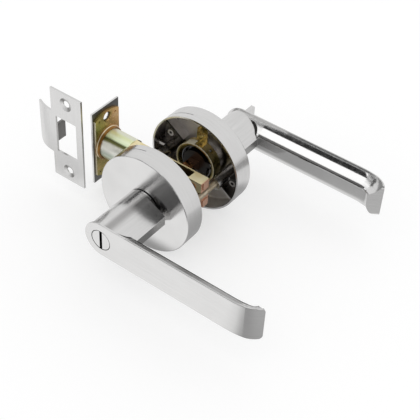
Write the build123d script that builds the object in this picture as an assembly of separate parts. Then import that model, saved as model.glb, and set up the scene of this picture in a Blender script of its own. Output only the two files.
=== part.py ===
from build123d import *
import math
import os

# Privacy door lever set: a lever on a round rose on each side of the door, a tubular latch
# between them and a strike plate for the door frame. All sizes are millimetres.
# The origin is where the spindle axis meets the latch axis, midway between the two roses.
# +X runs to the levers' free ends, -X to the door's edge, -Y to the outside, +Z up.

# Layout
DOOR_GAP = 37.0            # between the backs of the two roses
BACKSET = 60.0             # spindle axis to the faceplate's outer face
POST_SPACING = 44.0        # between the two through bolts
LEVER_TRAVEL = 60.0        # degrees that a lever turns

# Clearances
RUN = 0.05                 # radial, on a turning journal
SEAT = 0.1                 # each side, on a piece that drops into its seat
SLIDE = 0.25               # each side, on a sliding piece
CLEAR = 0.4                # each side, on pieces that pass each other

# Rose
ROSE_R = 34.5
ROSE_DEPTH = 14.0
ROSE_WALL = 1.2
ROSE_FACE = 2.2
ROSE_EDGE = 0.6
ROSE_CORNER = 1.2          # round between the wall and the face inside
BOSS_R = 13.2
BOSS_LENGTH = 2.8
POST_R = 4.0
POST_STAND = 7.5           # how far a post stands out of the rose's back
WEB = 2.0
WEB_DEPTH = 9.0
RIB = 1.6
RIB_DEPTH = 7.0
RIB_START = 16.5           # ribs begin outside the spring cage
RIB_ANGLES = (35.0, 145.0, 215.0)
PIP_R = 2.4                # hollow pip beside each post
PIP_BORE_R = 1.1
PIP_LENGTH = 4.3
PIP_OFF_AXIS = 26.7
PIP_ANGLE = 17.4

# Lever
LEVER_STAND = 40.0         # rose face to the blade's outer face
BLADE_HEIGHT = 25.0
BLADE_DEPTH = 9.7
BLADE_EDGE = 1.0
BLADE_CREASE = 5.2         # crease on the inner side, above the blade's middle
BLADE_BELLY = 1.5          # start of the round underside, below the blade's middle
FLANK_BULGE = 1.0
CREASE_ROUND = 1.6
BLADE_STRAIGHT = 92.0
BLADE_ROUND = 0.4
LEAD_R = 55.0              # gentle bend that leads into the tip's curl
LEAD_TURN = 12.0
TIP_R = 14.9
TIP_TURN = 45.0
TIP_CORNER = 3.0
NECK_R = 11.5
NECK_FLANK_R = 60.0        # flanks from the round neck to its nose
NECK_GAP = 0.6
NECK_SINK = 1.5            # how deep the neck stops below the blade's outer face
NOSE_X = 19.0
NOSE_HALF = 3.2
NOSE_GAP = 2.7
NOSE_ROUND = 0.6
JOURNAL_R = 9.5
JOURNAL_INSET = 1.0        # journal end behind the rose's back
SOCKET_DEPTH = 25.0
DRIVER_WIDTH = 4.0         # lug that pushes the return spring

# Bush, circlip and spring cage
BUSH_WALL = 1.4
BUSH_FLANGE = 0.8
BUSH_FLANGE_R = 13.0
CIRCLIP_R = 11.6
CIRCLIP_THICK = 1.0
CIRCLIP_MOUTH = 6.0
GROOVE_DEPTH = 1.0
CAGE_R = 15.0
CAGE_WALL = 1.4
CAGE_SHEET = 1.0
CAGE_DEPTH = 7.5
EAR_R = 4.0
EAR_SPACING = 44.0
CAGE_SCREW_R = 1.5
CAGE_SCREW_HEAD_R = 2.8
CAGE_SCREW_HEAD = 1.4
CAGE_SCREW_LENGTH = 3.0
RETURN_WIRE = 1.2
RETURN_R = 11.6
RETURN_TURNS = 1.75
RETURN_LEG = 8.8

# Spindle and privacy lock
SPINDLE = 7.0
SPINDLE_BORE_R = 2.5
BAR_WIDTH = 4.2
BAR_THICK = 1.8
TURN_SHAFT_R = 3.2
TURN_SHAFT_LENGTH = 12.0
BAR_GRIP = 4.0             # how far the bar enters each turn
COIN_R = 6.75
COIN_RING = 0.5            # gap round the coin turn
COIN_THICK = 3.6
COIN_SLOT = 2.0
COIN_SLOT_DEPTH = 2.0
BUTTON_R = 9.5
BUTTON_FLANGE = 1.5
WING_THICK = 2.6
WING_HEIGHT = 18.0
WING_STAND = 9.7
WING_ROUND = 1.0
ARM_PLANE = 12.0           # lock arm's near side from the door's middle
ARM_THICK = 1.8
ARM_HALF = 1.2
ARM_REACH = 14.4
TONGUE = 2.5
GRUB_R = 2.5
GRUB_LENGTH = 7.0
GRUB_STATION = 7.0         # grub screw axis beyond the neck's base

# Latch
PLATE_WIDTH = 25.4
PLATE_THICK = 1.3
PLATE_SCREW_SPACING = 41.3
PLATE_END = 7.925          # faceplate beyond a screw's axis
PLATE_SCREW_R = 2.6
PLATE_SINK_R = 4.4
PLATE_SINK = 0.7
BACK_WIDTH = 22.8
BACK_END = 4.55            # backplate beyond a screw's axis
BACK_ARCH = 3.2            # rise of its arched ends
BACK_THICK = 1.5
BACK_HOLE_R = 3.6          # wider than the faceplate's holes, clear of the screws
STAKE_R = 0.7
STAKE_Y = 7.8              # stakes beside the screw holes
STAKE_DEPTH = 0.6
COLLAR_R = 12.4
COLLAR_TOP_R = 11.3
COLLAR_LENGTH = 2.6
TUBE_R = 10.5
TUBE_WALL = 0.9
TUBE_LENGTH = 21.2
CASE_HALF_Y = 4.0
CASE_DROP = 0.5            # case lower than the tube
CASE_SHEET = 1.0
CASE_END = 22.4
CASE_NOSE = 3.5            # how far the case enters the tube
SLOT_START = -16.0
SLOT_END = 12.0
TAB_THICK = 0.8
TAB_HALF_Y = 2.5
TAB_DEPTH = 5.5
RIVET_R = 1.5
RIVET_HEAD_R = 2.4
RIVET_HEAD = 0.7
RIVET_X = 16.0
RIVET_Z = 5.5
LATCH_WIDTH = 11.0
LATCH_HEIGHT = 14.0
LATCH_THROW = 9.7
LATCH_BODY = 7.0           # bolt behind the faceplate's outer face
LATCH_LAND = 2.5           # flat left on the bolt's tip
STEM_R = 2.2
LATCH_WIRE = 0.8
LATCH_SPRING_R = 5.2
LATCH_SPRING_TURNS = 4.0
BASE_HALF_Z = 8.0
BASE_LENGTH = 3.0
FORK_LOW = 7.4
FORK_IN = 1.8              # inner side of each fork plate, from the door's middle
PIN_R = 1.0
HUB_R = 6.4
HUB_JOURNAL_R = 5.9
HUB_STAND = 0.5            # hub journal proud of the case
LUG_R = 10.6
LUG_HALF = 1.2
LUG_HALF_Y = 1.5

# Through bolts
BOLT_R = 2.0
BOLT_HEAD_R = 4.0
BOLT_HEAD = 2.0
BOLT_THREAD = 15.0         # bolt inside the outside rose's post

# Strike plate, standing loose beside the latch
STRIKE_X = -67.55
STRIKE_Y = -26.9
STRIKE_Z = 13.35
STRIKE_WIDTH = 25.5
STRIKE_HEIGHT = 69.85
STRIKE_THICK = 1.4
STRIKE_SCREW_SPACING = 54.0
STRIKE_SCREW_R = 2.4
STRIKE_SINK_R = 4.8
STRIKE_SINK = 0.9
KEEP_WIDTH = 17.0
KEEP_HEIGHT = 28.4
KEEP_SHIFT_X = -0.65       # opening's centre from the plate's centre
TANG_HEIGHT = 13.8
TANG_DEPTH = 8.4
LIP_HEIGHT = 33.3
LIP_REACH = 13.8
LIP_DROP = 3.5
LIP_CORNER = 5.0

# Stations along the spindle, measured outward from the door's middle
ROSE_BACK = DOOR_GAP / 2
ROSE_TOP = ROSE_BACK + ROSE_DEPTH
ROSE_INNER = ROSE_TOP - ROSE_FACE
BOSS_END = ROSE_INNER - BOSS_LENGTH
CAGE_SEAT = BOSS_END - BUSH_FLANGE
CAGE_FLOOR = CAGE_SEAT - CAGE_SHEET
CAGE_RIM = CAGE_SEAT - CAGE_DEPTH
POST_END = ROSE_BACK - POST_STAND
JOURNAL_END = ROSE_BACK + JOURNAL_INSET
NECK_BASE = ROSE_TOP + NECK_GAP
NOSE_BASE = ROSE_TOP + NOSE_GAP
LEVER_FACE = ROSE_TOP + LEVER_STAND
BLADE_INNER = LEVER_FACE - BLADE_DEPTH
NECK_TOP = LEVER_FACE - NECK_SINK
SOCKET_END = JOURNAL_END + SOCKET_DEPTH
COIN_TOP = LEVER_FACE - SEAT
COIN_SEAT = COIN_TOP - COIN_THICK
BUTTON_SEAT = LEVER_FACE + SLIDE
COIN_SHAFT_END = COIN_SEAT - TURN_SHAFT_LENGTH
BUTTON_SHAFT_END = BUTTON_SEAT - TURN_SHAFT_LENGTH
SPRING_HIGH = CAGE_FLOOR - CIRCLIP_THICK - CLEAR - RETURN_WIRE / 2
SPRING_LOW = JOURNAL_END + CLEAR + RETURN_WIRE / 2

# Stations along the latch, measured along X
PLATE_OUT = -BACKSET
PLATE_IN = PLATE_OUT + PLATE_THICK
BACK_IN = PLATE_IN + BACK_THICK
TUBE_END = BACK_IN + TUBE_LENGTH
CASE_FRONT = TUBE_END - CASE_NOSE
LATCH_TIP = PLATE_OUT - LATCH_THROW
LATCH_REAR = PLATE_OUT + LATCH_BODY
BASE_FRONT = CASE_FRONT + CASE_SHEET + CLEAR
BASE_REAR = BASE_FRONT + BASE_LENGTH
PLATE_HEIGHT = PLATE_SCREW_SPACING + 2 * PLATE_END
BACK_HEIGHT = PLATE_SCREW_SPACING + 2 * BACK_END
TUBE_BORE_R = TUBE_R - TUBE_WALL
CASE_HALF_Z = TUBE_R - CASE_DROP
CASE_IN_Y = CASE_HALF_Y - CASE_SHEET
CASE_IN_Z = CASE_HALF_Z - CASE_SHEET
FORK_OUT = CASE_IN_Y - SLIDE
FORK_HIGH = CASE_IN_Z - SLIDE
LUG_LEAN = LEVER_TRAVEL / 2
PIN_Z = LATCH_THROW / 2 / math.tan(math.radians(LUG_LEAN))
PIN_X = (LUG_HALF + PIN_R + SLIDE) / math.cos(math.radians(LUG_LEAN)) - LATCH_THROW / 2


def rod(radius, low, high, x=0.0, y=0.0):
    """Round bar along Z from low to high."""
    return Pos(x, y, low) * Cylinder(radius, high - low, align=(Align.CENTER, Align.CENTER, Align.MIN))


def ring(outer, inner, low, high):
    """Round sleeve along Z."""
    return rod(outer, low, high) - rod(inner, low, high)


def slab(x, y, z):
    """Box between the two ends given for each axis."""
    corner = Pos(x[0], y[0], z[0])
    return corner * Box(x[1] - x[0], y[1] - y[0], z[1] - z[0], align=(Align.MIN, Align.MIN, Align.MIN))


def along_x(radius, low, high, y=0.0, z=0.0):
    """Round bar along X from low to high."""
    return Pos(low, y, z) * Rot(0, 90, 0) * Cylinder(
        radius, high - low, align=(Align.CENTER, Align.CENTER, Align.MIN)
    )


def along_y(radius, low, high, x=0.0, z=0.0):
    """Round bar along Y from low to high."""
    return Pos(x, low, z) * Rot(-90, 0, 0) * Cylinder(
        radius, high - low, align=(Align.CENTER, Align.CENTER, Align.MIN)
    )


def cone(low_r, high_r, low, high):
    """Cone along Z with one radius at low and another at high."""
    return Pos(0, 0, low) * Cone(low_r, high_r, high - low, align=(Align.CENTER, Align.CENTER, Align.MIN))


def biarc(start, start_way, end, end_way):
    """Two arcs that leave start along start_way, meet at a tangent and reach end along end_way."""
    chord = end - start
    ways = start_way + end_way
    spread = 2 * (1 - start_way.dot(end_way))
    reach = (math.sqrt(chord.dot(ways) ** 2 + spread * chord.dot(chord)) - chord.dot(ways)) / spread
    middle = (start + start_way * reach + end - end_way * reach) * 0.5
    first = Edge.make_tangent_arc(start, start_way, middle)
    return [first, Edge.make_tangent_arc(middle, first % 1, end)]


def coil(radius, low, high, turns, wire, first_leg, last_leg):
    """Wire wound about Z from low to high in quarter turns, with a straight leg at each end."""
    steps = round(turns * 4)
    rise = (high - low) / (turns * 2 * math.pi)

    def spot(step):
        angle = step * math.pi / 2
        return Vector(radius * math.cos(angle), radius * math.sin(angle), low + rise * angle)

    def way(step):
        angle = step * math.pi / 2
        return Vector(-radius * math.sin(angle), radius * math.cos(angle), rise).normalized()

    begin = spot(0) - way(0) * first_leg
    edges = [Edge.make_line(begin, spot(0))]
    for step in range(steps):
        edges += biarc(spot(step), way(step), spot(step + 1), way(step + 1))
    edges.append(Edge.make_line(spot(steps), spot(steps) + way(steps) * last_leg))
    path = Wire(edges)
    section = Plane(origin=begin, z_dir=way(0)) * Circle(wire / 2)
    return sweep(section, path=path), path


def least_gap(path, wire, turn_length):
    """Smallest clear distance between stretches of a wound wire that lie half a turn or more apart."""
    count = 400
    spots = [path @ (index / count) for index in range(count + 1)]
    apart = math.ceil(turn_length / 2 / path.length * count)
    pairs = ((a, b) for a in range(count + 1) for b in range(a + apart, count + 1))
    return min((spots[a] - spots[b]).length for a, b in pairs) - wire


def inside(piece):
    """Lay a piece down that is drawn with the spindle axis up, its outward end to +Y."""
    return Rot(-90, 0, 0) * piece


def outside(piece):
    """The same as a mirror image, so that both levers load their springs, outward end to -Y."""
    return mirror(inside(piece), about=Plane.XZ)


def post_places():
    """Both through bolt axes."""
    return [-POST_SPACING / 2, POST_SPACING / 2]


def ear_places():
    """Both cage screw axes."""
    return [-EAR_SPACING / 2, EAR_SPACING / 2]


def rose():
    """Round cover with the bush boss, bolt posts, cage bosses, ribs and pips cast inside."""
    cover = rod(ROSE_R, ROSE_BACK, ROSE_TOP)
    cover = fillet(cover.edges().sort_by(Axis.Z)[-1], ROSE_EDGE)
    hollow = rod(ROSE_R - ROSE_WALL, ROSE_BACK, ROSE_INNER)
    cover -= fillet(hollow.edges().sort_by(Axis.Z)[-1], ROSE_CORNER)
    cast = rod(BOSS_R, BOSS_END, ROSE_INNER)
    for x in post_places():
        cast += rod(POST_R, POST_END, ROSE_INNER, x=x)
        wall_x = math.copysign(ROSE_R - ROSE_WALL / 2, x)
        cast += slab(sorted((x, wall_x)), (-WEB / 2, WEB / 2), (ROSE_INNER - WEB_DEPTH, ROSE_INNER))
    for y in ear_places():
        cast += rod(EAR_R, CAGE_SEAT, ROSE_INNER, y=y)
    for angle in RIB_ANGLES:
        rib_x = (RIB_START, ROSE_R - ROSE_WALL / 2)
        cast += Rot(0, 0, angle) * slab(rib_x, (-RIB / 2, RIB / 2), (ROSE_INNER - RIB_DEPTH, ROSE_INNER))
    pip = ring(PIP_R, PIP_BORE_R, ROSE_INNER - PIP_LENGTH, ROSE_INNER)
    for angle in (PIP_ANGLE, 180 + PIP_ANGLE):
        cast += Rot(0, 0, angle) * Pos(PIP_OFF_AXIS, 0, 0) * pip
    cover += cast
    for y in ear_places():
        cover -= rod(CAGE_SCREW_R + RUN, CAGE_SEAT, CAGE_FLOOR + CAGE_SHEET + CAGE_SCREW_LENGTH + SEAT, y=y)
    return cover - rod(JOURNAL_R + RUN + BUSH_WALL + RUN, BOSS_END, ROSE_TOP)


def outside_rose():
    """Rose with blind threaded posts."""
    cover = rose()
    for x in post_places():
        cover -= rod(BOLT_R + RUN, POST_END, POST_END + BOLT_THREAD + CLEAR, x=x)
    return cover


def inside_rose():
    """Rose drilled through its posts and countersunk for the bolt heads."""
    cover = rose()
    for x in post_places():
        cover -= rod(BOLT_R + SEAT, POST_END, ROSE_TOP, x=x)
        cover -= Pos(x, 0, 0) * cone(BOLT_R + SEAT, BOLT_HEAD_R + SEAT, ROSE_TOP - BOLT_HEAD, ROSE_TOP)
    return cover


def bush():
    """Flanged plain bearing pressed into the rose."""
    inner = JOURNAL_R + RUN
    sleeve = ring(inner + BUSH_WALL, inner, CAGE_SEAT, ROSE_TOP - SEAT)
    return sleeve + ring(BUSH_FLANGE_R, inner, CAGE_SEAT, BOSS_END)


def return_spring():
    """Torsion spring round the journal, and the path of its wire."""
    return coil(RETURN_R, SPRING_LOW, SPRING_HIGH, RETURN_TURNS, RETURN_WIRE, RETURN_WIRE, RETURN_LEG)


def spring_leg_slot():
    """Room in the cage wall for the spring's fixed leg."""
    side = RETURN_WIRE + 2 * CLEAR
    leg = slab((0, RETURN_LEG + CAGE_WALL), (-side / 2, side / 2), (-side / 2, side / 2))
    turn = RETURN_TURNS * 360
    return Pos(0, 0, SPRING_HIGH) * Rot(0, 0, turn) * Pos(RETURN_R, 0, 0) * Rot(0, 0, 90) * leg


def spring_cage():
    """Pressed cup that holds the return spring, with an ear for each screw."""
    cup = rod(CAGE_R, CAGE_RIM, CAGE_SEAT) - rod(CAGE_R - CAGE_WALL, CAGE_RIM, CAGE_FLOOR)
    for y in ear_places():
        cup += rod(EAR_R, CAGE_FLOOR, CAGE_SEAT, y=y)
        neck_y = sorted((math.copysign(CAGE_R - CAGE_WALL, y), y))
        cup += slab((-EAR_R, EAR_R), neck_y, (CAGE_FLOOR, CAGE_SEAT))
        cup -= rod(CAGE_SCREW_R + RUN, CAGE_FLOOR, CAGE_SEAT, y=y)
    cup -= rod(JOURNAL_R + CLEAR, CAGE_FLOOR, CAGE_SEAT)
    return cup - spring_leg_slot()


def inside_cage():
    """Spring cage with a tongue that stands in the way of the lowered lock arm."""
    wall = ring(CAGE_R, CAGE_R - CAGE_WALL, ARM_PLANE, CAGE_RIM)
    near = ARM_HALF + CLEAR
    return spring_cage() + (wall & slab((-near - TONGUE, -near), (0, CAGE_R), (ARM_PLANE, CAGE_RIM)))


def cage_screws():
    """Pair of screws through the cage's ears."""
    screws = []
    for y in ear_places():
        screw = rod(CAGE_SCREW_R, CAGE_FLOOR, CAGE_SEAT + CAGE_SCREW_LENGTH, y=y)
        head = rod(CAGE_SCREW_HEAD_R, CAGE_FLOOR - CAGE_SCREW_HEAD, CAGE_FLOOR, y=y)
        cross = slab((-EAR_R, EAR_R), (-CLEAR, CLEAR), (0, CAGE_SCREW_HEAD / 2))
        cross += Rot(0, 0, 90) * cross
        screws.append(screw + head - Pos(0, y, CAGE_FLOOR - CAGE_SCREW_HEAD) * cross)
    return Compound(children=screws)


def circlip():
    """Open ring that snaps into the journal's groove and holds the lever in the rose."""
    high = CAGE_FLOOR - SEAT
    clip = ring(CIRCLIP_R, JOURNAL_R - GROOVE_DEPTH + RUN, high - CIRCLIP_THICK, high)
    mouth = CIRCLIP_MOUTH / 2
    return clip - slab((-mouth, mouth), (0, CIRCLIP_R), (CAGE_RIM, CAGE_FLOOR))


def blade_upper():
    """Upper half of the blade's section: flat outer face, thin edge, flank down to a rounded crease."""
    edge = LEVER_FACE - BLADE_EDGE
    half = BLADE_HEIGHT / 2
    outline = Polyline((BLADE_CREASE, BLADE_INNER), (0, BLADE_INNER), (0, LEVER_FACE), (half, LEVER_FACE))
    outline += Line((half, LEVER_FACE), (half, edge))
    outline += SagittaArc((half, edge), (BLADE_CREASE, BLADE_INNER), -FLANK_BULGE)
    section = make_face(outline)
    crease = section.vertices().sort_by_distance((BLADE_CREASE, BLADE_INNER, 0))[0]
    return mirror(Plane.YZ * fillet(crease, CREASE_ROUND), about=Plane.XZ)


def blade_lower():
    """Lower half of the section, with a round belly under the fingers."""
    edge = LEVER_FACE - BLADE_EDGE
    half = BLADE_HEIGHT / 2
    outline = Polyline((BLADE_BELLY, BLADE_INNER), (0, BLADE_INNER), (0, LEVER_FACE), (half, LEVER_FACE))
    outline += Line((half, LEVER_FACE), (half, edge))
    belly = half - BLADE_BELLY
    outline += EllipticalCenterArc((BLADE_BELLY, edge), belly, edge - BLADE_INNER, 270, arc_size=90)
    return Plane.YZ * make_face(outline)


def blade():
    """Flat grip with a round root end and a tip that curls toward the door, its corners rounded."""
    upper = blade_upper()
    lower = blade_lower()
    section = lower + upper
    grip = extrude(section, BLADE_STRAIGHT)
    grip += revolve(lower, Axis.Z, 90) + revolve(upper, Axis((0, 0, 0), (0, 0, -1)), 90)
    lead, curl = tip_axes()
    end = Pos(BLADE_STRAIGHT, 0, 0) * section
    grip += revolve(end, lead, LEAD_TURN)
    grip += revolve(end.rotate(lead, LEAD_TURN), curl, TIP_TURN)
    face_edges = grip.edges().filter_by_position(Axis.Z, LEVER_FACE - RUN, LEVER_FACE + RUN)
    rim = [edge for edge in face_edges if edge.center().X < BLADE_STRAIGHT - RUN]
    return fillet(rim, BLADE_ROUND) - tip_corners().rotate(lead, LEAD_TURN).rotate(curl, TIP_TURN)


def tip_axes():
    """Axes that the blade bends round: first the gentle lead, then the curl of the tip."""
    turn = math.radians(LEAD_TURN)
    apart = LEAD_R - TIP_R
    lead_z = LEVER_FACE - LEAD_R
    curl_x = BLADE_STRAIGHT + apart * math.sin(turn)
    curl_z = lead_z + apart * math.cos(turn)
    return Axis((BLADE_STRAIGHT, 0, lead_z), (0, 1, 0)), Axis((curl_x, 0, curl_z), (0, 1, 0))


def tip_corners():
    """What is cut off the blade's end to round its upper and lower corner."""
    half = BLADE_HEIGHT / 2
    x = BLADE_STRAIGHT - TIP_CORNER
    y = half - TIP_CORNER
    low = BLADE_INNER - CLEAR
    high = LEVER_FACE + CLEAR
    corner = slab((x, BLADE_STRAIGHT + CLEAR), (y, half + CLEAR), (low, high))
    corner -= rod(TIP_CORNER, low, high, x=x, y=y)
    return corner + mirror(corner, about=Plane.XZ)


def neck():
    """Round neck drawn out to a blunt nose by round flanks that leave it at a tangent."""
    reach = math.hypot(NOSE_X, NOSE_HALF)
    apart = NECK_FLANK_R - NECK_R
    spread = (2 * NECK_FLANK_R * NECK_R - NECK_R ** 2 - reach ** 2) / (2 * apart * reach)
    lean = math.atan2(NOSE_HALF, NOSE_X) + math.acos(spread)
    touch_x = NECK_R * math.cos(lean)
    touch_y = NECK_R * math.sin(lean)
    flank = TangentArc((touch_x, touch_y), (NOSE_X, NOSE_HALF), tangent=(math.sin(lean), -math.cos(lean)))
    outline = flank + mirror(flank, about=Plane.XZ)
    outline += Line((NOSE_X, NOSE_HALF), (NOSE_X, -NOSE_HALF))
    outline += Line((touch_x, touch_y), (touch_x, -touch_y))
    gusset = extrude(Pos(0, 0, NOSE_BASE) * make_face(outline), NECK_TOP - NOSE_BASE)
    nose = gusset.edges().filter_by(Axis.Z).group_by(Axis.X)[-1]
    return rod(NECK_R, NECK_BASE, NECK_TOP) + fillet(nose, NOSE_ROUND)


def lever():
    """Blade, neck and journal in one casting, with the spindle socket and the circlip groove."""
    casting = blade() + neck() + rod(JOURNAL_R, JOURNAL_END, NECK_BASE)
    groove_low = CAGE_FLOOR - SEAT - CIRCLIP_THICK - RUN
    groove_high = CAGE_FLOOR - SEAT + RUN
    casting -= ring(JOURNAL_R + CLEAR, JOURNAL_R - GROOVE_DEPTH, groove_low, groove_high)
    driver_high = SPRING_LOW + RETURN_WIRE / 2
    driver_x = (JOURNAL_R - ROSE_WALL, RETURN_R + RETURN_WIRE / 2)
    driver_y = -RETURN_WIRE - SEAT
    casting += slab(driver_x, (driver_y - DRIVER_WIDTH, driver_y), (JOURNAL_END, driver_high))
    socket = SPINDLE / 2 + SEAT
    return casting - slab((-socket, socket), (-socket, socket), (JOURNAL_END, SOCKET_END))


def outside_lever():
    """Lever bored for the coin turn."""
    casting = lever()
    casting -= rod(TURN_SHAFT_R + RUN, SOCKET_END, LEVER_FACE)
    return casting - rod(COIN_R + COIN_RING, COIN_SEAT - SEAT, LEVER_FACE)


def inside_lever():
    """Lever bored for the turn button's shaft and drilled below for the grub screw."""
    casting = lever() - rod(TURN_SHAFT_R + RUN, SOCKET_END, LEVER_FACE)
    return casting - grub_axis() * rod(GRUB_R + RUN, 0, NECK_R)


def grub_axis():
    """Place of the grub screw on the inside lever, pointing outward from the spindle to below."""
    return Pos(0, 0, NECK_BASE + GRUB_STATION) * Rot(-90, 0, 0)


def grub_screw():
    """Socket screw that clamps the inside lever on the spindle."""
    low = SPINDLE / 2 + RUN
    screw = rod(GRUB_R, low, low + GRUB_LENGTH)
    key = extrude(Pos(0, 0, low + GRUB_LENGTH) * RegularPolygon(GRUB_R / 2, 6), -GRUB_LENGTH / 3)
    return grub_axis() * (screw - key)


def drive_spindle():
    """Hollow square bar through the latch hub into both levers, open at the side for the lock arm."""
    half = SPINDLE / 2
    end = SOCKET_END - SEAT
    bar = slab((-half, half), (-end, end), (-half, half)) - along_y(SPINDLE_BORE_R, -end, end)
    near = -ARM_HALF - CLEAR
    return bar - slab((near, half), (ARM_PLANE - CLEAR, ARM_PLANE + ARM_THICK + CLEAR), (-half, -near))


def bar_slot(low):
    """Slot in a turn's shaft for the privacy bar."""
    half_x = BAR_THICK / 2 + RUN
    return slab((-half_x, half_x), (-TURN_SHAFT_R, TURN_SHAFT_R), (low, low + BAR_GRIP + SEAT))


def coin_turn():
    """Slotted disc and shaft in the outside lever's face."""
    turn = rod(COIN_R, COIN_SEAT, COIN_TOP) + rod(TURN_SHAFT_R, COIN_SHAFT_END, COIN_SEAT)
    half = COIN_SLOT / 2
    turn -= slab((-half, half), (-COIN_R, COIN_R), (COIN_TOP - COIN_SLOT_DEPTH, COIN_TOP))
    return turn - bar_slot(COIN_SHAFT_END)


def turn_button():
    """Wing, flange and shaft on the inside lever's face."""
    half_x = WING_THICK / 2
    half_y = WING_HEIGHT / 2
    wing_low = BUTTON_SEAT + BUTTON_FLANGE
    wing = slab((-half_x, half_x), (-half_y, half_y), (wing_low, wing_low + WING_STAND))
    wing = fillet(wing.edges().filter_by(Axis.X).group_by(Axis.Z)[-1], WING_ROUND)
    button = rod(BUTTON_R, BUTTON_SEAT, wing_low) + wing
    return button + rod(TURN_SHAFT_R, BUTTON_SHAFT_END, BUTTON_SEAT) - bar_slot(BUTTON_SHAFT_END)


def privacy_bar():
    """Flat bar down the spindle's middle, from turn button to coin turn."""
    half_x = BAR_THICK / 2
    half_z = BAR_WIDTH / 2
    ends = (-COIN_SHAFT_END - BAR_GRIP, BUTTON_SHAFT_END + BAR_GRIP)
    return slab((-half_x, half_x), ends, (-half_z, half_z))


def lock_arm():
    """Finger on the privacy bar that swings down beside the inside cage's tongue."""
    return slab((BAR_THICK / 2, ARM_REACH), (ARM_PLANE, ARM_PLANE + ARM_THICK), (-ARM_HALF, ARM_HALF))


def plate_screw_holes(radius, low, high):
    """Screw holes through the faceplate or the backplate."""
    z = PLATE_SCREW_SPACING / 2
    return along_x(radius, low, high, z=z) + along_x(radius, low, high, z=-z)


def faceplate():
    """Plate on the door's edge with the bolt's window and countersunk holes."""
    half_y = PLATE_WIDTH / 2
    half_z = PLATE_HEIGHT / 2
    plate = slab((PLATE_OUT, PLATE_IN), (-half_y, half_y), (-half_z, half_z))
    window_y = LATCH_WIDTH / 2 + SLIDE
    window_z = LATCH_HEIGHT / 2 + SLIDE
    plate -= slab((PLATE_OUT, PLATE_IN), (-window_y, window_y), (-window_z, window_z))
    plate -= plate_screw_holes(PLATE_SCREW_R, PLATE_OUT, PLATE_IN)
    for z in (-PLATE_SCREW_SPACING / 2, PLATE_SCREW_SPACING / 2):
        plate -= Pos(PLATE_OUT, 0, z) * Rot(0, 90, 0) * cone(PLATE_SINK_R, PLATE_SCREW_R, 0, PLATE_SINK)
    return plate


def latch_backplate():
    """Backing plate with arched ends, stake marks and a flared collar round the tube's root."""
    side_y = BACK_WIDTH / 2
    top_z = BACK_HEIGHT / 2
    side_z = top_z - BACK_ARCH
    outline = Line((side_y, -side_z), (side_y, side_z))
    outline += ThreePointArc((side_y, side_z), (0, top_z), (-side_y, side_z))
    outline += Line((-side_y, side_z), (-side_y, -side_z))
    outline += ThreePointArc((-side_y, -side_z), (0, -top_z), (side_y, -side_z))
    plate = Pos(PLATE_IN, 0, 0) * extrude(Plane.YZ * make_face(outline), BACK_THICK)
    plate -= plate_screw_holes(BACK_HOLE_R, PLATE_IN, BACK_IN)
    for y in (-STAKE_Y, STAKE_Y):
        for z in (-PLATE_SCREW_SPACING / 2, PLATE_SCREW_SPACING / 2):
            plate -= along_x(STAKE_R, BACK_IN - STAKE_DEPTH, BACK_IN, y=y, z=z)
    plate += Pos(BACK_IN, 0, 0) * Rot(0, 90, 0) * cone(COLLAR_R, COLLAR_TOP_R, 0, COLLAR_LENGTH)
    plate -= along_x(TUBE_R + SEAT, BACK_IN, BACK_IN + COLLAR_LENGTH)
    return plate - along_x(TUBE_BORE_R, PLATE_IN, BACK_IN)


def latch_tube():
    """Round barrel between the backplate and the case."""
    return along_x(TUBE_R, BACK_IN, TUBE_END) - along_x(TUBE_BORE_R, BACK_IN, TUBE_END)


def latch_case():
    """Folded sheet case round the hub, slotted above and below, its end forked round a through bolt."""
    outer = slab((TUBE_END, CASE_END), (-CASE_HALF_Y, CASE_HALF_Y), (-CASE_HALF_Z, CASE_HALF_Z))
    nose_box = slab((CASE_FRONT, TUBE_END), (-CASE_HALF_Y, CASE_HALF_Y), (-CASE_HALF_Z, CASE_HALF_Z))
    outer += nose_box & along_x(TUBE_BORE_R - SEAT, CASE_FRONT, TUBE_END)
    inner = slab((TUBE_END, CASE_END - CASE_SHEET), (-CASE_IN_Y, CASE_IN_Y), (-CASE_IN_Z, CASE_IN_Z))
    nose_room = slab((CASE_FRONT + CASE_SHEET, TUBE_END), (-CASE_IN_Y, CASE_IN_Y), (-CASE_IN_Z, CASE_IN_Z))
    inner += nose_room & along_x(TUBE_BORE_R - SEAT - CASE_SHEET, CASE_FRONT, TUBE_END)
    case = outer - inner
    case -= slab((SLOT_START, SLOT_END), (-CASE_IN_Y, CASE_IN_Y), (-CASE_HALF_Z, CASE_HALF_Z))
    case -= along_x(STEM_R + SLIDE, CASE_FRONT, CASE_FRONT + CASE_SHEET)
    case -= along_y(HUB_JOURNAL_R + RUN, -CASE_HALF_Y, CASE_HALF_Y)
    bolt_room = BOLT_R + CLEAR
    for x in post_places():
        case -= along_y(bolt_room, -CASE_HALF_Y, CASE_HALF_Y, x=x)
    fork_x = (POST_SPACING / 2, CASE_END)
    case -= slab(fork_x, (-CASE_HALF_Y, CASE_HALF_Y), (-bolt_room, bolt_room))
    for z in (-RIVET_Z, RIVET_Z):
        case -= along_y(RIVET_R + RUN, -CASE_HALF_Y, CASE_HALF_Y, x=RIVET_X, z=z)
    tab_x = (CASE_END, CASE_END + TAB_THICK)
    tab_y = (-TAB_HALF_Y, TAB_HALF_Y)
    case += slab(tab_x, tab_y, (CASE_HALF_Z - TAB_DEPTH, CASE_HALF_Z))
    return case + slab(tab_x, tab_y, (-CASE_HALF_Z, TAB_DEPTH - CASE_HALF_Z))


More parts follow.
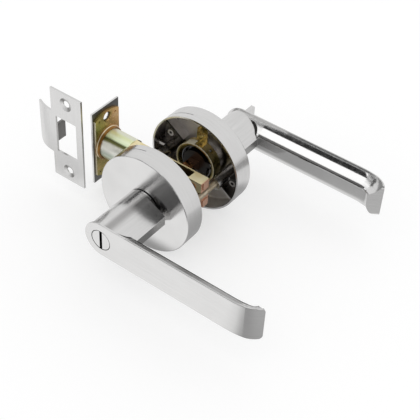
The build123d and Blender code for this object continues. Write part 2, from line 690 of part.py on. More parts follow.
def case_rivets():
    """Rivets across the case's end."""
    rivets = []
    for z in (-RIVET_Z, RIVET_Z):
        rivet = along_y(RIVET_R, -CASE_HALF_Y, CASE_HALF_Y, x=RIVET_X, z=z)
        rivet += along_y(RIVET_HEAD_R, -CASE_HALF_Y - RIVET_HEAD, -CASE_HALF_Y, x=RIVET_X, z=z)
        rivet += along_y(RIVET_HEAD_R, CASE_HALF_Y, CASE_HALF_Y + RIVET_HEAD, x=RIVET_X, z=z)
        rivets.append(rivet)
    return Compound(children=rivets)


def latch_hub():
    """Cam on the spindle with a lug above and a lug below."""
    cam = along_y(HUB_R, -CASE_IN_Y + SLIDE, CASE_IN_Y - SLIDE)
    end = CASE_HALF_Y + HUB_STAND
    cam += along_y(HUB_JOURNAL_R, -end, end)
    lug = slab((-LUG_HALF, LUG_HALF), (-LUG_HALF_Y, LUG_HALF_Y), (0, LUG_R))
    lug += along_y(LUG_HALF, -LUG_HALF_Y, LUG_HALF_Y, z=LUG_R)
    cam += Rot(0, -LUG_LEAN, 0) * lug
    cam += Rot(0, 180 + LUG_LEAN, 0) * lug
    socket = SPINDLE / 2 + SEAT
    return cam - slab((-socket, socket), (-end, end), (-socket, socket))


def latch_bolt():
    """Sprung bolt with its bevel to the outside."""
    half_y = LATCH_WIDTH / 2
    half_z = LATCH_HEIGHT / 2
    bolt = slab((LATCH_TIP, LATCH_REAR), (-half_y, half_y), (-half_z, half_z))
    bevel = Polygon((LATCH_TIP, -half_y), (PLATE_OUT, -half_y), (LATCH_TIP, half_y - LATCH_LAND), align=None)
    return bolt - extrude(Pos(0, 0, -half_z) * bevel, LATCH_HEIGHT)


def bolt_stem():
    """Rod from the bolt to the retractor."""
    return along_x(STEM_R, LATCH_REAR, BASE_REAR)


def retractor():
    """Yoke whose forks carry a pin ahead of each hub lug and pull the bolt back."""
    base = slab((BASE_FRONT, BASE_REAR), (-FORK_OUT, FORK_OUT), (-BASE_HALF_Z, BASE_HALF_Z))
    yoke = base & along_x(TUBE_BORE_R - SEAT - CASE_SHEET - SLIDE, BASE_FRONT, BASE_REAR)
    for y in ((FORK_IN, FORK_OUT), (-FORK_OUT, -FORK_IN)):
        yoke += slab((TUBE_END + SLIDE, PIN_X), y, (FORK_LOW, FORK_HIGH))
        yoke += slab((TUBE_END + SLIDE, PIN_X), y, (-FORK_HIGH, -FORK_LOW))
    yoke += along_y(PIN_R, -FORK_OUT, FORK_OUT, x=PIN_X, z=PIN_Z)
    yoke += along_y(PIN_R, -FORK_OUT, FORK_OUT, x=PIN_X, z=-PIN_Z)
    return yoke - along_x(STEM_R + RUN, BASE_FRONT, BASE_REAR)


def latch_spring():
    """Compression spring between the bolt and the case, and the path of its wire."""
    low = LATCH_REAR + CLEAR + LATCH_WIRE
    high = CASE_FRONT - CLEAR - LATCH_WIRE
    wound, path = coil(LATCH_SPRING_R, low, high, LATCH_SPRING_TURNS, LATCH_WIRE, LATCH_WIRE, LATCH_WIRE)
    return Rot(0, 90, 0) * wound, path


def through_bolts():
    """Countersunk bolts from the inside rose into the outside rose's posts."""
    bolts = []
    for x in post_places():
        bolt = along_y(BOLT_R, -POST_END - BOLT_THREAD, ROSE_TOP, x=x)
        head = Pos(x, ROSE_TOP, 0) * Rot(90, 0, 0) * cone(BOLT_HEAD_R, BOLT_R, 0, BOLT_HEAD)
        cross = slab((-BOLT_R, BOLT_R), (-BOLT_HEAD / 2, 0), (-CLEAR, CLEAR))
        cross += Rot(0, 90, 0) * cross
        bolts.append(bolt + head - Pos(x, ROSE_TOP, 0) * cross)
    return Compound(children=bolts)


def strike_plate():
    """Plate for the door frame: keep opening, tang bent back and lip curled back."""
    left = STRIKE_X - STRIKE_WIDTH / 2
    right = STRIKE_X + STRIKE_WIDTH / 2
    back = STRIKE_Y + STRIKE_THICK
    half_z = STRIKE_HEIGHT / 2
    plate = slab((left, right), (STRIKE_Y, back), (STRIKE_Z - half_z, STRIKE_Z + half_z))
    keep_x = STRIKE_X + KEEP_SHIFT_X - KEEP_WIDTH / 2
    keep_z = (STRIKE_Z - KEEP_HEIGHT / 2, STRIKE_Z + KEEP_HEIGHT / 2)
    plate -= slab((keep_x, keep_x + KEEP_WIDTH), (STRIKE_Y, back), keep_z)
    tang_z = (STRIKE_Z - TANG_HEIGHT / 2, STRIKE_Z + TANG_HEIGHT / 2)
    plate += slab((keep_x - STRIKE_THICK, keep_x), (STRIKE_Y, STRIKE_Y + TANG_DEPTH), tang_z)
    for z in (STRIKE_Z - STRIKE_SCREW_SPACING / 2, STRIKE_Z + STRIKE_SCREW_SPACING / 2):
        plate -= along_y(STRIKE_SCREW_R, STRIKE_Y, back, x=STRIKE_X, z=z)
        sink = cone(STRIKE_SINK_R, STRIKE_SCREW_R, 0, STRIKE_SINK)
        plate -= Pos(STRIKE_X, STRIKE_Y, z) * Rot(-90, 0, 0) * sink
    curl_r = (LIP_REACH ** 2 + LIP_DROP ** 2) / (2 * LIP_DROP)
    sweep_angle = math.degrees(math.asin(LIP_REACH / curl_r))
    edge = slab((left - SEAT, left), (STRIKE_Y, back), (STRIKE_Z - LIP_HEIGHT / 2, STRIKE_Z + LIP_HEIGHT / 2))
    root = edge.faces().sort_by(Axis.X)[-1]
    lip = revolve(root, Axis((left, STRIKE_Y + curl_r, 0), (0, 0, -1)), sweep_angle)
    tip = lip.faces().sort_by(Axis.X)[0]
    lip = fillet(tip.edges().sort_by(Axis.Z)[0], LIP_CORNER)
    return plate + lip


def main():
    """Write every piece to its own file."""
    os.makedirs("parts", exist_ok=True)
    spring, spring_path = return_spring()
    bolt_spring, bolt_spring_path = latch_spring()
    turn = 2 * math.pi * RETURN_R
    print("least gap in the return springs", round(least_gap(spring_path, RETURN_WIRE, turn), 2))
    turn = 2 * math.pi * LATCH_SPRING_R
    print("least gap in the latch spring", round(least_gap(bolt_spring_path, LATCH_WIRE, turn), 2))
    pieces = {
        "outside_lever": outside(outside_lever()),
        "inside_lever": inside(inside_lever()),
        "outside_rose": outside(outside_rose()),
        "inside_rose": inside(inside_rose()),
        "outside_bush": outside(bush()),
        "inside_bush": inside(bush()),
        "outside_circlip": outside(circlip()),
        "inside_circlip": inside(circlip()),
        "outside_spring_cage": outside(spring_cage()),
        "inside_spring_cage": inside(inside_cage()),
        "outside_cage_screws": outside(cage_screws()),
        "inside_cage_screws": inside(cage_screws()),
        "outside_return_spring": outside(spring),
        "inside_return_spring": inside(spring),
        "inside_grub_screw": inside(grub_screw()),
        "drive_spindle": drive_spindle(),
        "coin_turn": outside(coin_turn()),
        "turn_button": inside(turn_button()),
        "privacy_bar": privacy_bar(),
        "lock_arm": lock_arm(),
        "faceplate": faceplate(),
        "latch_backplate": latch_backplate(),
        "latch_tube": latch_tube(),
        "latch_case": latch_case(),
        "case_rivets": case_rivets(),
        "latch_hub": latch_hub(),
        "latch_bolt": latch_bolt(),
        "bolt_stem": bolt_stem(),
        "retractor": retractor(),
        "latch_spring": bolt_spring,
        "through_bolts": through_bolts(),
        "strike_plate": strike_plate(),
    }
    for node, piece in pieces.items():
        export_step(piece, f"parts/{node}.step")


main()
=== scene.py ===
"""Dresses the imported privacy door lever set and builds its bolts, springs and studio."""

import logging
import math
from dataclasses import dataclass
from enum import Enum
from typing import Any

import bmesh
import bpy
import numpy as np
from mathutils import Matrix, Vector


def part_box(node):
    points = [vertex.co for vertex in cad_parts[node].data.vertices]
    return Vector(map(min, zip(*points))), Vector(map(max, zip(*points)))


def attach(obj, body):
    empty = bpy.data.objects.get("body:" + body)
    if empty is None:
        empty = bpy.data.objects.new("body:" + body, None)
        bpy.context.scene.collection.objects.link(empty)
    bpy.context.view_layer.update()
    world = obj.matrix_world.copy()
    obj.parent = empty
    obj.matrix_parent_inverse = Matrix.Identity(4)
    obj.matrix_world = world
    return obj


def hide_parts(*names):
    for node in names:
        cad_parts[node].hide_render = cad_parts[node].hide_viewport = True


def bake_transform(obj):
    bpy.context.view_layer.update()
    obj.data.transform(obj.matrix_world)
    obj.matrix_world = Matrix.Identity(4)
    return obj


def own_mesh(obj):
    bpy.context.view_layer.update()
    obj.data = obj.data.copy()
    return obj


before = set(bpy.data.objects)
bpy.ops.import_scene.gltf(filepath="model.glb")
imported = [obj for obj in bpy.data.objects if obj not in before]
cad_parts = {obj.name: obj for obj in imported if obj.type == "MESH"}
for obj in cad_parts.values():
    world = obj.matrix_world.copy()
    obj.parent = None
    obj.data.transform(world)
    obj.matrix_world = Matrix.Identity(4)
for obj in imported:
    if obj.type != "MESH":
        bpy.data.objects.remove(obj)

LOG = logging.getLogger("lever_set")
Triple = tuple[float, float, float]
Colour = Triple
Span = tuple[float, float]
Stops = tuple[tuple[float, Colour], ...]
Steps = tuple[tuple[float, Span], ...]

ANYWHERE: Span = (-1.0, 1.0)
FULL_TURN = 2 * math.pi
MERGE_DISTANCE = 1e-7


class Grain(Enum):
    """Way that the polishing lines run, as noise scales along X, Y and Z in lines per metre."""

    ALONG_LEVER = (22.0, 22.0, 1500.0)
    ROUND_ROSE = (20.0, 1500.0, 20.0)
    UP_PLATE = (1300.0, 1300.0, 18.0)


class Cloud(Enum):
    """Even cloudy pattern: clouds per metre, octaves of finer ones, how much they are stirred."""

    GRIT = (240.0, 3.0, 0.0)
    STAIN = (30.0, 2.0, 0.0)
    HANDLING = (38.0, 3.0, 0.6)
    ZINC_SPOTS = (420.0, 3.0, 0.0)
    TUBE_FILM = (45.0, 2.0, 0.8)
    TARNISH = (90.0, 2.0, 0.8)
    PLATE_SPOTS = (900.0, 2.0, 0.0)
    NYLON_SKIN = (1600.0, 2.0, 0.0)


class Panel(Enum):
    """Studio panel: how bright its left and right show, its low and high corners in metres."""

    FLANK_DARK = (0.03, 0.03, (-0.98, -2.0, 1.11), (-0.45, -1.2, 1.49))
    CURL_WHITE = (1.6, 1.6, (-1.17, -2.0, 1.11), (-0.98, -1.2, 1.49))
    CURL_DARK = (0.06, 0.06, (-2.6, -2.0, 1.11), (-1.17, -1.2, 1.49))
    OVERHEAD = (1.5, 1.5, (-0.94, -1.2, 1.5), (-0.34, -0.16, 1.65))
    TUBE_DARK = (0.03, 0.03, (-1.7, -1.6, 1.4), (-0.95, -0.45, 1.6))
    NECK_FADE = (0.8, 0.13, (-0.12, -2.2, 1.0), (0.26, -0.5, 1.7))
    NECK_DARK = (0.13, 0.05, (0.26, -2.2, 1.0), (1.4, -0.5, 1.7))
    FRONT = (0.15, 0.15, (-1.6, -2.1, 0.02), (1.2, -2.1, 1.1))
    SIDE = (0.3, 0.3, (-2.7, -2.7, -0.1), (-2.7, 1.7, 0.9))


class Tone(Enum):
    """Metal laid over the main finish, mostly painted light and shade: darker colour, lighter
    colour and roughness.
    """

    # Raw casting, darkened as painted shade.
    CASTING = ((0.2, 0.19, 0.18), (0.36, 0.34, 0.325), 0.16)
    # Painted light on the casting and on the post.
    LIT_CASTING = ((0.6, 0.575, 0.56), (0.86, 0.83, 0.81), 0.5)
    POST = ((0.5, 0.49, 0.48), (0.62, 0.61, 0.6), 0.18)
    SHADE = ((0.025, 0.024, 0.023), (0.06, 0.057, 0.054), 0.3)
    # Painted shade along the crease.
    CREASE = ((0.1, 0.098, 0.096), (0.16, 0.157, 0.154), 0.2)
    INNER_SIDE = ((0.67, 0.665, 0.66), (0.72, 0.715, 0.71), 0.05)
    # Painted shade and a painted dark reflection on the levers.
    DULL_SIDE = ((0.46, 0.456, 0.452), (0.54, 0.536, 0.532), 0.36)
    UPPER_EDGE = ((0.5, 0.496, 0.492), (0.58, 0.576, 0.572), 0.28)
    NECK_STREAK = ((0.36, 0.355, 0.35), (0.42, 0.415, 0.41), 0.17)
    END_FACE = ((0.28, 0.277, 0.274), (0.36, 0.356, 0.352), 0.22)
    PLATE_BACK = ((0.09, 0.088, 0.086), (0.17, 0.165, 0.16), 0.3)
    # Painted shade on the strike's tang and in its countersinks, and inside the case.
    TANG = ((0.19, 0.185, 0.18), (0.25, 0.245, 0.24), 0.32)
    CASE_INSIDE = ((0.05, 0.032, 0.012), (0.12, 0.08, 0.03), 0.35)
    COPPER_TAB = ((0.52, 0.29, 0.19), (0.68, 0.41, 0.29), 0.24)
    ORANGE_COLLAR = ((0.24, 0.11, 0.015), (0.52, 0.25, 0.06), 0.24)
    # Painted highlights on edges, the collar, the plate and the cage.
    PALE_EDGE = ((0.82, 0.72, 0.5), (0.98, 0.93, 0.72), 0.3)
    CAGE_LIGHT = ((0.92, 0.82, 0.58), (1.0, 0.96, 0.8), 0.6)


def even(scale: float) -> Triple:
    """The same scale along X, Y and Z."""
    return (scale, scale, scale)


class Value:
    """A socket of a material that takes part in Python expressions."""

    def __init__(self, graph: "Graph", socket: bpy.types.NodeSocket) -> None:
        """Keep the socket and the graph that it belongs to."""
        self.graph = graph
        self.socket = socket

    def _math(self, operation: str, first: Any, second: Any = 0.0) -> "Value":
        """Add one Math node.

        Args:
            operation: Name of the Math node's operation.
            first: Left value, a Value or a number.
            second: Right value, a Value or a number.

        Returns:
            The node's result.
        """
        settings = {"operation": operation}
        made = self.graph.node("ShaderNodeMath", settings, {0: first, 1: second})
        return Value(self.graph, made.outputs[0])

    def __add__(self, other: Any) -> "Value":
        """Sum."""
        return self._math("ADD", self, other)

    def __radd__(self, other: Any) -> "Value":
        """Sum with a number on the left."""
        return self._math("ADD", other, self)

    def __sub__(self, other: Any) -> "Value":
        """Difference."""
        return self._math("SUBTRACT", self, other)

    def __rsub__(self, other: Any) -> "Value":
        """Difference with a number on the left."""
        return self._math("SUBTRACT", other, self)

    def __mul__(self, other: Any) -> "Value":
        """Product."""
        return self._math("MULTIPLY", self, other)

    def __rmul__(self, other: Any) -> "Value":
        """Product with a number on the left."""
        return self._math("MULTIPLY", other, self)

    def __truediv__(self, other: Any) -> "Value":
        """Quotient."""
        return self._math("DIVIDE", self, other)

    def __rtruediv__(self, other: Any) -> "Value":
        """Quotient with a number on the left."""
        return self._math("DIVIDE", other, self)

    def __abs__(self) -> "Value":
        """Size without its sign."""
        return self._math("ABSOLUTE", self)

    def __pow__(self, other: Any) -> "Value":
        """Power."""
        return self._math("POWER", self, other)

    def length(self, other: "Value") -> "Value":
        """Distance from zero of the point that this value and the other give."""
        return (self * self + other * other) ** 0.5

    def angle(self, other: "Value") -> "Value":
        """Angle of the point with this value as its rise and the other as its run, in radians."""
        return self._math("ARCTAN2", self, other)

    def above(self, edge: float) -> "Value":
        """One where the value is over the edge, else zero."""
        return self._math("GREATER_THAN", self, edge)

    def below(self, edge: float) -> "Value":
        """One where the value is under the edge, else zero."""
        return self._math("LESS_THAN", self, edge)

    def between(self, span: Span) -> "Value":
        """One where the value lies inside the span, else zero."""
        return self.above(span[0]) * self.below(span[1])

    def rise(self, low: float, high: float) -> "Value":
        """Go smoothly from zero at low to one at high.

        Args:
            low: Value that gives zero.
            high: Value that gives one.

        Returns:
            The eased share.
        """
        settings = {"interpolation_type": "SMOOTHSTEP"}
        inputs = {"Value": self, "From Min": low, "From Max": high}
        made = self.graph.node("ShaderNodeMapRange", settings, inputs)
        return Value(self.graph, made.outputs["Result"])


class Graph:
    """Nodes of one material, ending in one surface."""

    def __init__(self, name: str) -> None:
        """Start an empty node material.

        Args:
            name: Name of the material.
        """
        self.material = bpy.data.materials.new(name)
        self.material.use_nodes = True
        self.tree = self.material.node_tree
        self.tree.nodes.clear()
        self.coords = self.node("ShaderNodeTexCoord")
        split = self.node("ShaderNodeSeparateXYZ", None, {0: self.coords.outputs["Object"]})
        self.x, self.y, self.z = (Value(self, split.outputs[axis]) for axis in range(3))

    def node(
        self,
        kind: str,
        settings: dict[str, Any] | None = None,
        inputs: dict[Any, Any] | None = None,
    ) -> bpy.types.Node:
        """Add a node.

        Args:
            kind: Blender's name of the node type.
            settings: Node properties, set before its sockets; "stops" gives a ramp's colours.
            inputs: Numbers, colours or links for its sockets, by name or place.

        Returns:
            The node.
        """
        made = self.tree.nodes.new(kind)
        for key, value in (settings or {}).items():
            if key == "stops":
                ramp = made.color_ramp.elements
                while len(ramp) < len(value):
                    ramp.new(0.5)
                for element, (place, colour) in zip(ramp, value):
                    element.position = place
                    element.color = (*colour, 1.0)
            else:
                setattr(made, key, value)
        for key, value in (inputs or {}).items():
            if isinstance(value, Value):
                self.tree.links.new(value.socket, made.inputs[key])
            elif isinstance(value, bpy.types.NodeSocket):
                self.tree.links.new(value, made.inputs[key])
            else:
                made.inputs[key].default_value = value
        return made

    def noise(self, scales: Triple, detail: float, distortion: float = 0.0) -> Value:
        """Cloudy pattern from zero to one.

        Args:
            scales: How often it repeats along X, Y and Z, per metre.
            detail: Octaves of finer clouds.
            distortion: How much the clouds are stirred.

        Returns:
            The pattern.
        """
        inputs = {"Vector": self.coords.outputs["Object"], "Scale": scales}
        scaled = self.node("ShaderNodeMapping", None, inputs).outputs[0]
        inputs = {"Vector": scaled, "Scale": 1.0, "Detail": detail, "Distortion": distortion}
        return Value(self, self.node("ShaderNodeTexNoise", None, inputs).outputs[0])

    def cloud(self, pattern: Cloud) -> Value:
        """One of the named even patterns, from zero to one."""
        scale, detail, distortion = pattern.value
        return self.noise(even(scale), detail, distortion)

    def ramp(self, share: Value, stops: Stops) -> Value:
        """Colour read from a row of stops.

        Args:
            share: Place on the row, from zero to one.
            stops: Places with their colours.

        Returns:
            The colour.
        """
        made = self.node("ShaderNodeValToRGB", {"stops": stops}, {0: share})
        return Value(self, made.outputs[0])

    def mix(self, share: Value, first: Any, second: Any) -> Value:
        """Blend two colours.

        Args:
            share: Zero gives the first colour, one the second.
            first: Colour or link.
            second: Colour or link.

        Returns:
            The blend.
        """
        first, second = ((*c, 1.0) if isinstance(c, tuple) else c for c in (first, second))
        inputs = {0: share, 6: first, 7: second}
        return Value(self, self.node("ShaderNodeMix", {"data_type": "RGBA"}, inputs).outputs[2])

    def relief(self, height: Value, depth: float) -> Value:
        """Surface direction over a fine relief.

        Args:
            height: Pattern from zero to one.
            depth: Height in metres that one stands for.

        Returns:
            The direction for a surface's Normal socket.
        """
        made = self.node("ShaderNodeBump", None, {"Height": height, "Distance": depth})
        return Value(self, made.outputs[0])

    def close(self, shader: bpy.types.Node) -> bpy.types.Material:
        """Make a shader node the material's surface, and give the material."""
        self.node("ShaderNodeOutputMaterial", None, {"Surface": shader.outputs[0]})
        return self.material

    def surface(
        self, colour: Value, roughness: Value, normal: Value, metallic: float = 1.0
    ) -> bpy.types.Material:
        """Close the graph with a Principled surface.

        Args:
            colour: Its colour.
            roughness: Its roughness.
            normal: Its direction.
            metallic: How much of it is bare metal.

        Returns:
            The finished material.
        """
        inputs = {
            "Base Color": colour, "Roughness": roughness, "Normal": normal, "Metallic": metallic
        }
        return self.close(self.node("ShaderNodeBsdfPrincipled", None, inputs))


@dataclass(frozen=True)
class Zone:
    """Part of a piece with other metal laid over the main finish, mostly painted light and shade,
    and what that metal looks like.
    """

    GRIT_SHARE = 0.15
    GRIT_ROUGHNESS = 0.1
    STAIN_RANGE = (0.35, 0.65)

    tone: Tone

    def share(self, graph: Graph) -> Value:
        """One inside the zone, else zero."""
        raise NotImplementedError

    def lay(self, graph: Graph, colour: Value, roughness: Value) -> tuple[Value, Value]:
        """Lay the zone's metal over a finish.

        Args:
            graph: Material being made.
            colour: The finish's colour.
            roughness: The finish's roughness.

        Returns:
            Colour and roughness with the zone in them.
        """
        dark, light, rough = self.tone.value
        grit, stain = graph.cloud(Cloud.GRIT), graph.cloud(Cloud.STAIN)
        patches = grit * self.GRIT_SHARE + stain * (1 - self.GRIT_SHARE)
        metal = graph.mix(patches.rise(*self.STAIN_RANGE), dark, light)
        inside = self.share(graph)
        own = (rough + grit * self.GRIT_ROUGHNESS) * inside
        return graph.mix(inside, colour, metal), roughness * (1 - inside) + own


@dataclass(frozen=True)
class RoundHollow(Zone):
    """Round space about the spindle axis on each side: radii, heights from the middle, least X."""

    radii: Span
    heights: Span
    least_x: float = -1.0

    def share(self, graph: Graph) -> Value:
        """One inside the hollow, else zero."""
        off_axis = graph.x.length(graph.z).between(self.radii)
        return off_axis * abs(graph.y).between(self.heights) * graph.x.above(self.least_x)


@dataclass(frozen=True)
class LitHollow(RoundHollow):
    """Part of a round space that gets more light: X over which it ends, Z over which it starts."""

    fade_x: Span = (0.0, 0.018)
    fade_z: Span = (0.0, 0.014)

    def share(self, graph: Graph) -> Value:
        """How much of the light reaches a point."""
        lit = (1 - graph.x.rise(*self.fade_x)) * graph.z.rise(*self.fade_z)
        return super().share(graph) * lit


@dataclass(frozen=True)
class BoxSpace(Zone):
    """Space with limits along X, Y and Z."""

    across: Span = ANYWHERE
    along: Span = ANYWHERE
    up: Span = ANYWHERE

    def share(self, graph: Graph) -> Value:
        """One inside the space, else zero."""
        level = graph.x.between(self.across) * graph.y.between(self.along)
        return level * graph.z.between(self.up)


@dataclass(frozen=True)
class EachSide(BoxSpace):
    """The same space on each side of the door, with its limits along Y from the door's middle."""

    def share(self, graph: Graph) -> Value:
        """One inside either space, else zero."""
        level = graph.x.between(self.across) * abs(graph.y).between(self.along)
        return level * graph.z.between(self.up)


@dataclass(frozen=True)
class PaintedNeckReflection(Zone):
    """Soft painted dark reflection along the outside neck: X where it starts, is full, thins and
    ends; its Y.
    """

    across: tuple[float, float, float, float]
    along: Span

    def share(self, graph: Graph) -> Value:
        """How much of the line lies at a point.

        Args:
            graph: Material being made.

        Returns:
            The share, from zero to one.
        """
        start, full, thins, end = self.across
        line = graph.x.rise(start, full) * (1 - graph.x.rise(thins, end))
        return line * graph.z.above(0.0) * graph.y.between(self.along)


@dataclass(frozen=True)
class AlongY(Zone):
    """Round spaces along Y: X and Z of each axis, radius and the limits along Y."""

    axes: tuple[Span, ...]
    radius: float
    along: Span

    def share(self, graph: Graph) -> Value:
        """One inside any of the spaces, else zero."""
        near = sum(self.nearness(graph.x - x, graph.z - z) for x, z in self.axes)
        return near * graph.y.between(self.along)

    def nearness(self, across: Value, up: Value) -> Value:
        """One where a point so far from an axis is inside its space, else zero."""
        return (across * across + up * up).below(self.radius**2)


@dataclass(frozen=True)
class Countersinks(AlongY):
    """Countersinks whose upper left and lower right sides lie in shade."""

    NOT_ZERO = 1e-9

    def nearness(self, across: Value, up: Value) -> Value:
        """How far the side of a countersink at a point is turned from the light.

        Args:
            across: Distance of the point from the axis along X.
            up: Distance of the point from the axis along Z.

        Returns:
            The share, from zero to one.
        """
        apart = across * across + up * up
        slant = (across - up) * (across - up) / (apart * 2 + self.NOT_ZERO)
        return slant * slant * apart.below(self.radius**2)


@dataclass(frozen=True)
class PaintedBladeRootShade(Zone):
    """Painted shade in a crescent on the blade's inner side, beyond the neck's flank: X, Z and
    radius of both arcs.
    """

    flank: Triple
    bound: Triple
    heights: Span

    def share(self, graph: Graph) -> Value:
        """Tell the crescent from the rest of the piece.

        Args:
            graph: Material being made.

        Returns:
            One inside the crescent, else zero.
        """
        x, z = graph.x, abs(graph.z)
        flank, bound = ((x - a).length(z - b) for a, b, _ in (self.flank, self.bound))
        crescent = flank.above(self.flank[2]) * bound.below(self.bound[2])
        return crescent * abs(graph.y).between(self.heights)


@dataclass(frozen=True)
class AlongX(Zone):
    """Round space along X about the latch axis: radius and the limits along X."""

    radius: float
    across: Span

    def share(self, graph: Graph) -> Value:
        """One inside the space, else zero."""
        return graph.y.length(graph.z).below(self.radius) * graph.x.between(self.across)


@dataclass(frozen=True)
class SatinNickel:
    """Plated casting polished along one way, with faint handling marks and zones of raw casting and
    of painted light and shade.
    """

    name: str
    grain: Grain
    colour: Colour = (0.705, 0.70, 0.695)
    roughness: float = 0.2
    zones: tuple[Zone, ...] = ()
    line_roughness: float = 0.07
    mark_roughness: float = 0.04
    fine_scale: float = 3.1
    fine_share: float = 0.6
    mark_share: float = 0.3
    shade_range: Span = (0.3, 0.7)
    dullest: float = 0.93
    brightest: float = 1.04
    line_depth: float = 3e-6

    def polish(self, graph: Graph) -> tuple[Value, Value, Value]:
        """Colour, roughness and relief of the polished plate.

        Args:
            graph: Material being made.

        Returns:
            The three values.
        """
        wide = graph.noise(self.grain.value, detail=2.0)
        fine_scales = tuple(self.fine_scale * scale for scale in self.grain.value)
        fine = graph.noise(fine_scales, detail=4.0)
        lines = wide * (1 - self.fine_share) + fine * self.fine_share
        marks = graph.cloud(Cloud.HANDLING)
        shade = lines * (1 - self.mark_share) + marks * self.mark_share
        dull = tuple(self.dullest * part for part in self.colour)
        bright = tuple(min(1.0, self.brightest * part) for part in self.colour)
        colour = graph.mix(shade.rise(*self.shade_range), dull, bright)
        uneven = (lines - 0.5) * self.line_roughness + (marks - 0.5) * self.mark_roughness
        return colour, self.roughness + uneven, graph.relief(lines, self.line_depth)

    def material(self) -> bpy.types.Material:
        """Make the nodes of the finish.

        Returns:
            The finish as a material.
        """
        graph = Graph(self.name)
        colour, roughness, normal = self.polish(graph)
        for zone in self.zones:
            colour, roughness = zone.lay(graph, colour, roughness)
        return graph.surface(colour, roughness, normal)


@dataclass(frozen=True)
class YellowZinc:
    """Yellow passivated zinc whose film changes colour with its thickness, with other zones."""

    name: str
    stops: Stops
    clouds: float = 52.0
    roughness: float = 0.2
    metallic: float = 0.7
    drift: Span | None = None
    zones: tuple[Zone, ...] = ()
    drift_share: float = 0.55
    film_range: Span = (0.28, 0.72)
    spot_share: float = 0.12
    spot_roughness: float = 0.12
    spot_depth: float = 5e-6

    def material(self) -> bpy.types.Material:
        """Make the nodes of the finish.

        Returns:
            The finish as a material.
        """
        graph = Graph(self.name)
        spots = graph.cloud(Cloud.ZINC_SPOTS)
        clouds = graph.noise(even(self.clouds), detail=2.5, distortion=1.2)
        film = clouds.rise(*self.film_range)
        if self.drift is not None:
            film = film * (1 - self.drift_share) + graph.y.rise(*self.drift) * self.drift_share
        film = film * (1 - self.spot_share) + spots * self.spot_share
        colour = graph.ramp(film, self.stops)
        roughness = self.roughness + (spots - 0.5) * self.spot_roughness
        for zone in self.zones:
            colour, roughness = zone.lay(graph, colour, roughness)
        normal = graph.relief(spots, self.spot_depth)
        return graph.surface(colour, roughness, normal, self.metallic)


@dataclass(frozen=True)
class BandedZinc:
    """Passivated tube along X whose film colours and painted reflections show as bands, each placed
    by its share of the turn.
    """

    name: str
    bands: Stops
    roughness: float = 0.36
    metallic: float = 0.6
    drawn_scales: Triple = (16.0, 260.0, 260.0)
    drawn_shift: float = 0.012
    cloud_shift: float = 0.03
    drawn_roughness: float = 0.1
    drawn_depth: float = 3e-6

    def material(self) -> bpy.types.Material:
        """Make the nodes of the finish.

        Returns:
            The finish as a material.
        """
        graph = Graph(self.name)
        turn = graph.y.angle(graph.z) / FULL_TURN + 0.5
        drawn = graph.noise(self.drawn_scales, detail=3.0)
        clouds = graph.cloud(Cloud.TUBE_FILM)
        shift = (drawn - 0.5) * self.drawn_shift + (clouds - 0.5) * self.cloud_shift
        colour = graph.ramp(turn + shift, self.bands)
        roughness = self.roughness + (drawn - 0.5) * self.drawn_roughness
        normal = graph.relief(drawn, self.drawn_depth)
        return graph.surface(colour, roughness, normal, self.metallic)


@dataclass(frozen=True)
class PlainPlate:
    """Bright, black or copper plate on small steel pieces, with drawing marks and tarnish."""

    name: str
    colour: Colour
    tarnish: Colour
    roughness: float = 0.2
    tarnish_range: Span = (0.4, 0.75)
    tarnish_roughness: float = 0.1
    spot_roughness: float = 0.14
    spot_depth: float = 5e-6

    def material(self) -> bpy.types.Material:
        """Make the nodes of the finish.

        Returns:
            The finish as a material.
        """
        graph = Graph(self.name)
        clouds, spots = graph.cloud(Cloud.TARNISH), graph.cloud(Cloud.PLATE_SPOTS)
        colour = graph.mix(clouds.rise(*self.tarnish_range), self.colour, self.tarnish)
        uneven = (spots - 0.5) * self.spot_roughness + (clouds - 0.5) * self.tarnish_roughness
        return graph.surface(
            colour, self.roughness + uneven, graph.relief(spots, self.spot_depth)
        )


@dataclass(frozen=True)
class Nylon:
    """Moulded nylon with a fine matt skin."""

    name: str
    colour: Colour = (0.03, 0.03, 0.032)
    wear: float = 1.8
    wear_range: Span = (0.35, 0.7)
    roughness: float = 0.42
    skin_roughness: float = 0.16
    skin_depth: float = 8e-6

    def material(self) -> bpy.types.Material:
        """Make the nodes of the finish.

        Returns:
            The finish as a material.
        """
        graph = Graph(self.name)
        skin = graph.cloud(Cloud.NYLON_SKIN)
        worn = tuple(self.wear * part for part in self.colour)
        colour = graph.mix(skin.rise(*self.wear_range), self.colour, worn)
        roughness = self.roughness + skin * self.skin_roughness
        return graph.surface(colour, roughness, graph.relief(skin, self.skin_depth), 0.0)


# Film colours round the tube, with painted white and dark reflection bands.
TUBE_FILM_AND_REFLECTION_BANDS: Stops = (
    (0.0, (0.72, 0.62, 0.3)), (0.25, (0.55, 0.62, 0.52)), (0.3, (1.0, 1.0, 0.92)),
    (0.365, (1.0, 0.99, 0.88)), (0.385, (0.2, 0.2, 0.07)), (0.41, (0.08, 0.09, 0.02)),
    (0.43, (0.78, 0.88, 0.58)), (0.46, (0.92, 1.0, 0.72)), (0.5, (0.8, 0.86, 0.5)),
    (0.54, (0.78, 0.8, 0.66)), (1.0, (0.72, 0.62, 0.3)),
)
BROWN: Stops = (
    (0.0, (0.2, 0.19, 0.04)), (0.35, (0.42, 0.33, 0.09)),
    (0.65, (0.64, 0.38, 0.14)), (1.0, (0.68, 0.46, 0.24)),
)
OLIVE: Stops = (
    (0.0, (0.07, 0.06, 0.015)), (0.4, (0.2, 0.16, 0.05)),
    (0.75, (0.42, 0.33, 0.12)), (1.0, (0.7, 0.55, 0.26)),
)
DULL: Stops = ((0.0, (0.28, 0.23, 0.16)), (0.5, (0.45, 0.38, 0.28)), (1.0, (0.6, 0.53, 0.42)))
CREAM: Stops = ((0.0, (0.86, 0.70, 0.36)), (1.0, (0.95, 0.87, 0.58)))
DARK_BROWN: Stops = ((0.0, (0.1, 0.065, 0.02)), (1.0, (0.26, 0.18, 0.07)))

